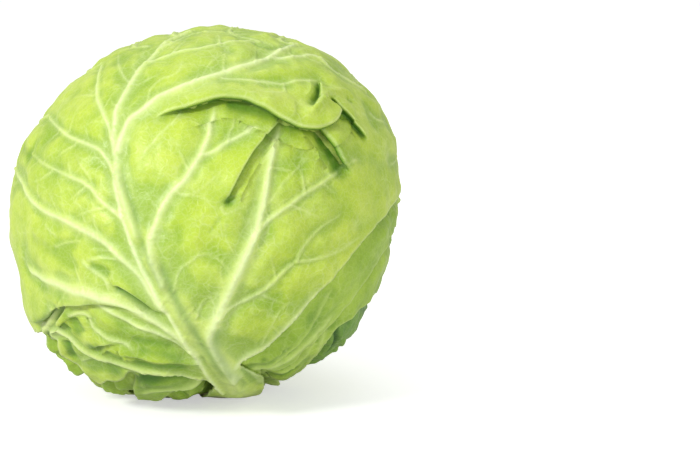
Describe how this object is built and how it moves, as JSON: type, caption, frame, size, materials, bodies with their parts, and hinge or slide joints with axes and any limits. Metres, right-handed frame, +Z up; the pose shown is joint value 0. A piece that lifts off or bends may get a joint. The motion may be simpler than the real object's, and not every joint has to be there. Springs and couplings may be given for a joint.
{
  "type": "cabbage head",
  "caption": "Round head of white cabbage wrapped in overlapping outer leaves, trimmed at the stem and resting on the cut.",
  "frame": {"origin": "middle of the head's footprint, on the surface it rests on", "axes": "+Z up from the cut stem to the crown, -Y towards the front leaf's face, +X to that leaf's right"},
  "size_m": [0.1799, 0.1762, 0.1724],
  "materials": {
    "outer_leaf": "satin, waxy",
    "dark_leaf": "satin, waxy",
    "inner_leaf": "satin",
    "stem": "matt, cut"
  },
  "bodies": {
    "root": {"leaf_front": "outer_leaf", "leaf_right": "outer_leaf", "leaf_right_lower": "outer_leaf", "leaf_bottom_front": "outer_leaf", "leaf_bottom_small": "outer_leaf", "leaf_bottom_left": "outer_leaf", "leaf_lower_right": "dark_leaf", "leaf_back_left": "outer_leaf", "leaf_back_right": "outer_leaf", "leaf_back": "outer_leaf", "inner_head": "inner_leaf", "cut_stem": "stem"}
  },
  "joints": []
}
